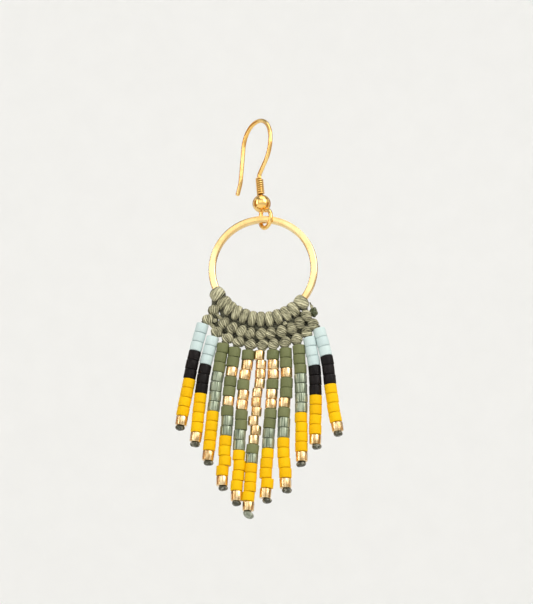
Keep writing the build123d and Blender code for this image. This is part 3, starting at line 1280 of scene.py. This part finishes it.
@dataclass
class BeadString:
    """A string of beads on its thread, with the melted knob under it."""

    workshop: Workshop
    number: int
    plan: StringPlan
    usual_pitch: float = 1.38
    first: float = 0.67
    bead_gap: float = 0.04
    upper_bend: Pair = (0.165, 0.435)
    lower_bend: Pair = (0.4925, 0.8075)
    walk_step: float = 0.2
    seed_range: float = 50.0
    play: float = 0.03
    tilt_play: float = 2.2
    width: Pair = (0.98, 1.01)
    narrow_width: Pair = (0.86, 0.93)
    narrow_beads: int = 10
    tall: Pair = (0.985, 1.01)
    pale_string: int = 6
    pale_tilt: float = -24.0
    knob_tilt_play: float = 12.0
    thread: CordMaker = CordMaker(CordSection(0.62, 0.62, 4, 0.2, 2.0, points=3))
    plain_bead: BeadShape = BeadShape()
    gold_bead: BeadShape = BeadShape(1.60, 0.12)
    knob: KnobShape = KnobShape()
    pale_knob: KnobShape = KnobShape("pale_knob", 1.62, 0.98)

    @property
    def pitch(self) -> float:
        """Distance from bead to bead."""
        return self.usual_pitch * self.plan.pitch_share

    @property
    def changes(self) -> Pair:
        """Change of the lean in the upper and in the lower bend."""
        top, middle, low = self.plan.leans
        return middle - top, low - middle

    @property
    def length(self) -> float:
        """Length of the string."""
        return len(self.plan.beads) * self.pitch - self.bead_gap

    def lean_at(self, run: float) -> float:
        """Work out the string's lean, which changes in an upper and a lower bend.

        Args:
            run: Distance from the string's top.

        Returns:
            The lean towards the right, in degrees.
        """
        lean = self.plan.leans[0]
        for (start, end), change in zip((self.upper_bend, self.lower_bend), self.changes):
            lean += change * min(1.0, max(0.0, (run / self.length - start) / (end - start)))
        return lean

    def point_at(self, run: float) -> Vector:
        """Follow the string's middle line down from its top.

        Args:
            run: Distance from the string's top.

        Returns:
            The point there.
        """
        point = heading(self.plan.angle) * self.plan.radius - heading(self.plan.leans[0]) * self.first
        steps = max(1, int(abs(run) / self.walk_step))
        for step in range(steps):
            point = point + heading(self.lean_at((step + 0.5) * run / steps)) * (run / steps)
        return point

    def place(self, run: float, sway: float, tilt: float) -> Matrix:
        """Place something that is threaded on the string.

        Args:
            run: Its distance from the string's top.
            sway: How far it stands off the middle line to the side.
            tilt: How far it leans more than the string does, in degrees.

        Returns:
            Its matrix, with the z axis upwards.
        """
        down = heading(self.lean_at(run) + tilt)
        upright = (-down).to_track_quat("Z", "Y").to_matrix().to_4x4()
        return Matrix.Translation(self.point_at(run) + FRONT.cross(down) * sway) @ upright

    @staticmethod
    def shake(play: float) -> float:
        """Return a random value within a play to either side."""
        return random.uniform(-play, play)

    def add_bead(self, bm: BMesh, order: int, bead: Bead, slot: int) -> None:
        """Add one bead of the string.

        Args:
            bm: Mesh that takes the bead.
            order: Its place on the string, from 0 at the top.
            bead: Its kind.
            slot: Its material number.
        """
        part = bmesh.new()
        place_layer = part.verts.layers.float_vector.new("bead_place")
        tint_layer = part.verts.layers.float.new("bead_tint")
        (self.gold_bead if bead is Bead.GOLD else self.plain_bead).build(part)
        seed = Vector(random.uniform(0, self.seed_range) for _ in range(3))
        tint = random.random()
        for vert in part.verts:
            vert[place_layer] = vert.co + seed
            vert[tint_layer] = tint
        narrow = self.plan.beads.startswith(Bead.GOLD.value) and order < self.narrow_beads
        wide = random.uniform(*(self.narrow_width if narrow else self.width))
        sway = self.plan.sways[order] / 100 if self.plan.sways else 0.0
        run = self.first * self.plan.pitch_share + order * self.pitch
        matrix = (
            self.place(run, sway + self.shake(self.play), self.shake(self.tilt_play))
            @ Matrix.Rotation(random.uniform(0, math.tau), 4, "Z")
            @ Matrix.Diagonal((wide, wide, self.plan.pitch_share * random.uniform(*self.tall), 1.0))
        )
        bmesh.ops.transform(part, matrix=matrix, verts=part.verts)
        take_in(bm, part, slot)

    def build_beads(self) -> None:
        """Make the beads with the thread through them."""
        bm = bmesh.new()
        kinds = sorted({Bead(letter) for letter in self.plan.beads}, key=lambda bead: bead.name)
        for order, bead in enumerate(map(Bead, self.plan.beads)):
            self.add_bead(bm, order, bead, kinds.index(bead))
        self.add_thread(bm, len(kinds))
        name = f"strand_{self.number:02d}"
        slots = [bead.slot for bead in kinds] + ["cord"]
        self.workshop.piece(name + "_beads", bm, "drop", slots, [name], even_normals=True)

    def add_thread(self, bm: BMesh, slot: int) -> None:
        """Add the cord that runs through the beads.

        Args:
            bm: Mesh that takes the cord.
            slot: Material number of the cord.
        """
        steps = 2 * len(self.plan.beads)
        stations = [Station(self.point_at(self.length * step / steps), FRONT) for step in range(steps + 1)]
        self.thread.sweep(bm, stations, False, slot)

    def build_knob(self) -> None:
        """Make the melted knob that holds the last bead."""
        bm = bmesh.new()
        pale = self.number == self.pale_string
        knob = self.pale_knob if pale else self.knob
        verts = knob.build(bm, self.number)
        tilt = self.pale_tilt if pale else self.shake(self.knob_tilt_play)
        matrix = self.place(self.length, self.plan.knob_sway / 100, tilt)
        bmesh.ops.transform(bm, matrix=matrix, verts=verts)
        name = f"end_knot_{self.number:02d}"
        self.workshop.piece(name + "_knob", bm, "drop", [knob.finish], [name])

    def build(self) -> None:
        """Make the pieces of the string."""
        self.build_beads()
        self.build_knob()


@dataclass
class CordLegs:
    """Short stretches of cord from the ring to the rows, between the rows and to the beads."""

    workshop: Workshop
    cord: CordMaker = CordMaker(CordSection(0.84, 0.56, 7, 0.24, 4.0))
    steps: int = 8
    mount_radius: float = 7.6
    bead_bite: float = 0.75
    mount_backs: Pair = (0.20, 0.30)
    row_back: float = 0.20
    bead_back: float = 0.05
    cross_backs: Pair = (0.35, 0.55)
    bulge_cord: CordMaker = CordMaker(CordSection(0.60, 0.56, 5, 0.2, 2.0))
    bulges: tuple[Pair, ...] = ((-6.20, -7.56), (3.41, -7.66))
    bulge_depths: tuple[float, ...] = (0.1, -0.35, -0.56, -0.66)
    bulge_widths: tuple[float, ...] = (1.0, 1.1, 0.8, 0.3)

    def leg(self, bm: BMesh, start: Vector, end: Vector, back: float) -> None:
        """Add one leg.

        Args:
            bm: Mesh that takes the leg.
            start: Its upper end.
            end: Its lower end.
            back: How far its middle stands back.
        """
        stations = []
        for step in range(self.steps + 1):
            share = step / self.steps
            place = start.lerp(end, share) - FRONT * (back * math.sin(math.pi * share))
            stations.append(Station(place, RIGHT))
        self.cord.sweep(bm, stations, False)

    def build(self) -> None:
        """Make the piece."""
        bm = bmesh.new()
        for mount, plan, after in zip(MOUNTS, STRINGS, MOUNTS[1:]):
            for wrap, back in zip((mount, after), self.mount_backs):
                self.leg(bm, heading(wrap.angle) * self.mount_radius, plan.upper.middle, back)
            self.leg(bm, plan.upper.middle, plan.lower.middle, self.row_back)
            top = heading(plan.angle) * plan.radius - heading(plan.leans[0]) * self.bead_bite
            self.leg(bm, plan.lower.middle, top, self.bead_back)
        for plan, after in zip(STRINGS, STRINGS[1:]):
            self.leg(bm, plan.upper.middle, after.lower.middle, self.cross_backs[0])
            self.leg(bm, after.upper.middle, plan.lower.middle, self.cross_backs[1])
        for x, z in self.bulges:
            stations = [
                Station(Vector((x, depth, z)), RIGHT, wide, wide)
                for depth, wide in zip(self.bulge_depths, self.bulge_widths)
            ]
            self.bulge_cord.sweep(bm, stations, False, 1)
        # The legs wear the painted-shade copy of the cord; the bulges wear the plain cord.
        self.workshop.piece("cord_legs", bm, "drop", ["cord_inner", "cord"])


@dataclass
class CarrierEnd:
    """Melted end of the carrier cord at the right of the upper row, with a stray ply above it."""

    workshop: Workshop
    middle: Triple = (7.22, 0.10, -5.90)
    radius: float = 0.60
    height_share: float = 1.16
    lump: float = 0.07
    waves: tuple[int, int] = (9, 8)
    segments: tuple[int, int] = (28, 18)
    spur: CordMaker = CordMaker(CordSection(0.50, 0.40, 5, 0.2, 2.0))
    spur_line: tuple[Triple, ...] = (
        (-0.1, -0.1, 0.3), (-0.3, -0.2, 0.8), (-0.55, -0.2, 1.35)
    )
    spur_widths: tuple[float, ...] = (1.3, 1.2, 0.6)

    def build(self) -> None:
        """Make the piece."""
        bm = bmesh.new()
        around, down = self.segments
        verts = bmesh.ops.create_uvsphere(bm, u_segments=around, v_segments=down, radius=self.radius)["verts"]
        for vert in verts:
            swell = math.sin(self.waves[0] * vert.co.x) + math.cos(self.waves[1] * vert.co.z + 1)
            vert.co *= 1.0 + self.lump * swell
            vert.co.z *= self.height_share
        middle = Vector(self.middle)
        bmesh.ops.translate(bm, vec=middle, verts=verts)
        stations = [
            Station(middle + Vector(point), FRONT, wide, wide)
            for point, wide in zip(self.spur_line, self.spur_widths)
        ]
        self.spur.sweep(bm, stations, False, 1)
        self.workshop.piece("carrier_end_melt", bm, "drop", ["burnt_cord", "cord"], ["carrier_end"])


# Studio


@dataclass(frozen=True)
class Panel:
    """A flat thing in the studio.

    Its place and aim are a turn from the camera's azimuth and an elevation, in degrees, and a distance
    from the ring's middle.  Sizes are metres.  Without an aim it faces the ring's middle.
    """

    name: str
    place: Triple
    size: Pair
    aim: Triple | None = None


@dataclass(frozen=True)
class SoftBox(Panel):
    """A soft box, its power in watts."""

    power: float = 1.0
    colour: Colour = (1.0, 0.985, 0.96)


@dataclass(frozen=True)
class Card(Panel):
    """A brown card that only shows in the metal's reflections."""

    colour: Colour = (0.42, 0.22, 0.09)


SOFT_BOXES = (
    SoftBox("key", (42, 32, 0.75), (0.46, 0.56), power=2.85),
    SoftBox("top", (15, 74, 0.70), (0.60, 0.60), power=1.65),
    SoftBox("face", (-12, 18, 0.90), (0.70, 0.50), power=0.85),
    SoftBox("strip", (-62, 12, 0.75), (0.10, 0.60), power=0.9),
    *(
        SoftBox(name, (turn, 62, 0.80), (0.90, 0.50), (turn, 12, 1.40), power)
        for name, turn, power in (
            ("backdrop", 180, 3.5), ("front_wall", 0, 1.9), ("left_wall", -90, 1.9), ("right_wall", 90, 1.9),
        )
    ),
)
CARDS = (
    Card("flag_left", (-92, -6, 0.60), (0.50, 0.80)),
    Card("flag_right", (88, -14, 0.60), (0.40, 0.80)),
    Card("flag_low", (10, -50, 0.70), (0.90, 0.70), colour=(0.30, 0.15, 0.06)),
    Card("flag_back", (180, 22, 0.20), (0.40, 0.13), colour=(0.30, 0.14, 0.08)),
)


@dataclass(frozen=True)
class SweepShape:
    """Sizes of the floor that curves up into a wall all round, in metres."""

    floor: float = -0.34
    floor_radius: float = 0.9
    curve_radius: float = 0.5
    curve_step: int = 10
    wall_top: float = 1.3
    sides: int = 64

    def profile(self) -> list[Triple]:
        """Lay out the sweep's section.

        Returns:
            Its points, from the middle of the floor to the top of the wall.
        """
        points = [(0.0, 0.0, self.floor), (self.floor_radius, 0.0, self.floor)]
        for degrees in range(self.curve_step, 91, self.curve_step):
            out = self.curve_radius * math.sin(math.radians(degrees))
            rise = self.curve_radius * (1.0 - math.cos(math.radians(degrees)))
            points.append((self.floor_radius + out, 0.0, self.floor + rise))
        return points + [(self.floor_radius + self.curve_radius, 0.0, self.wall_top)]


@dataclass
class Studio:
    """Pale sweep, soft lights and the camera."""

    drop: DropFrame
    azimuth: float = -33.0
    elevation: float = -14.0
    roll: float = 3.0
    pixels_per_mm: float = 7.3
    ring_pixel: Pair = (263.1, 269.0)
    picture: tuple[int, int] = (533, 604)
    lens: float = 250.0
    sensor: float = 36.0
    clip: Pair = (0.01, 20.0)
    world_strength: float = 0.355
    paper: Colour = (0.90, 0.90, 0.89)
    sweep: SweepShape = SweepShape()

    def axes(self, azimuth: float, elevation: float) -> tuple[Vector, Vector, Vector]:
        """Work out the directions of a view.

        Args:
            azimuth: Where it is seen from, round the upright, in degrees.
            elevation: How high it is seen from, in degrees.

        Returns:
            The right, up and back directions.
        """
        a, e = math.radians(azimuth), math.radians(elevation)
        back = Vector((math.sin(a) * math.cos(e), -math.cos(a) * math.cos(e), math.sin(e)))
        right = Vector((math.cos(a), math.sin(a), 0.0))
        return right, back.cross(right), back

    def spot(self, place: Triple) -> Vector:
        """Return the point at a turn from the camera, an elevation and a distance."""
        turn, elevation, distance = place
        return self.drop.middle + self.axes(self.azimuth + turn, elevation)[2] * distance

    def stand(self, panel: Panel) -> Matrix:
        """Work out where a panel stands.

        Args:
            panel: The panel.

        Returns:
            Its matrix, with the z axis away from what it faces.
        """
        target = self.spot(panel.aim) if panel.aim else self.drop.middle
        turn = (self.spot(panel.place) - target).to_track_quat("Z", "Y").to_matrix().to_4x4()
        return Matrix.Translation(self.spot(panel.place)) @ turn

    def build_camera(self) -> None:
        """Place the camera so that the ring's middle falls on its pixel."""
        right, up, back = self.axes(self.azimuth, self.elevation)
        roll = math.radians(self.roll)
        view_right = right * math.cos(roll) + up * math.sin(roll)
        view_up = up * math.cos(roll) - right * math.sin(roll)
        scale = MM / self.pixels_per_mm
        aim = (
            self.drop.middle
            + view_right * ((self.picture[0] / 2 - self.ring_pixel[0]) * scale)
            - view_up * ((self.picture[1] / 2 - self.ring_pixel[1]) * scale)
        )
        distance = self.picture[1] * scale * self.lens / self.sensor
        data = bpy.data.cameras.new("camera")
        data.lens, data.sensor_width = self.lens, self.sensor
        data.clip_start, data.clip_end = self.clip
        camera = set_out("camera", data)
        axes = Matrix((view_right, view_up, back)).transposed().to_4x4()
        camera.matrix_world = Matrix.Translation(aim + back * distance) @ axes
        bpy.context.scene.camera = camera

    def build_sweep(self) -> None:
        """Make the floor, which curves up into a wall all round."""
        bm = bmesh.new()
        turn_profile(bm, self.sweep.profile(), (0, 0, 1), self.sweep.sides, closed=False)
        bmesh.ops.remove_doubles(bm, verts=bm.verts, dist=1e-5)
        for face in bm.faces:
            face.smooth = True
        mesh = pour(bm, "sweep")
        mesh.materials.append(PaintedPaper("studio_paper", self.paper).make())
        set_out("sweep", mesh)

    def build_soft_box(self, box: SoftBox) -> None:
        """Add a soft box.

        Args:
            box: The soft box.
        """
        data = bpy.data.lights.new(box.name, "AREA")
        data.shape = "RECTANGLE"
        data.size, data.size_y = box.size
        data.energy, data.color = box.power, box.colour
        set_out(box.name, data).matrix_world = self.stand(box)

    def build_card(self, card: Card) -> None:
        """Add a card.

        Args:
            card: The card.
        """
        bm = bmesh.new()
        bmesh.ops.create_grid(bm, x_segments=1, y_segments=1, size=0.5)
        matrix = self.stand(card) @ Matrix.Diagonal((*card.size, 1.0, 1.0))
        bmesh.ops.transform(bm, matrix=matrix, verts=bm.verts)
        mesh = pour(bm, card.name)
        mesh.materials.append(PaintedPaper(card.name + "_card", card.colour).make())
        flag = set_out(card.name, mesh)
        flag.visible_camera = flag.visible_shadow = flag.visible_diffuse = False

    def build(self) -> None:
        """Make the studio."""
        world = bpy.data.worlds.new("studio")
        world.use_nodes = True
        background = world.node_tree.nodes["Background"]
        background.inputs["Color"].default_value = (1.0, 1.0, 1.0, 1.0)
        background.inputs["Strength"].default_value = self.world_strength
        bpy.context.scene.world = world
        bpy.context.scene.view_settings.view_transform = "Standard"
        self.build_sweep()
        for box in SOFT_BOXES:
            self.build_soft_box(box)
        for card in CARDS:
            self.build_card(card)
        self.build_camera()


# Assembly


def main() -> None:
    """Build all pieces in order."""
    logging.basicConfig(level=logging.INFO, format="%(name)s: %(message)s")
    random.seed(SEED)
    drop = DropFrame()
    workshop = Workshop(Palette(), drop)
    Studio(drop).build()
    for node in ("ear_hook", "hook_coil", "hook_ball"):
        workshop.dress(node, "hook_gold")
    RingBand(workshop).build()
    MountingKnots(workshop).build()
    HitchRow(workshop, "hitch_row_upper", [plan.upper for plan in STRINGS], stretch=(0.90, 1.25)).build()
    HitchRow(workshop, "hitch_row_lower", [plan.lower for plan in STRINGS], stretch=(1.05, 1.06)).build()
    CordLegs(workshop).build()
    CarrierEnd(workshop).build()
    for number, plan in enumerate(STRINGS, start=1):
        BeadString(workshop, number, plan).build()


if __name__ == "__main__":
    main()
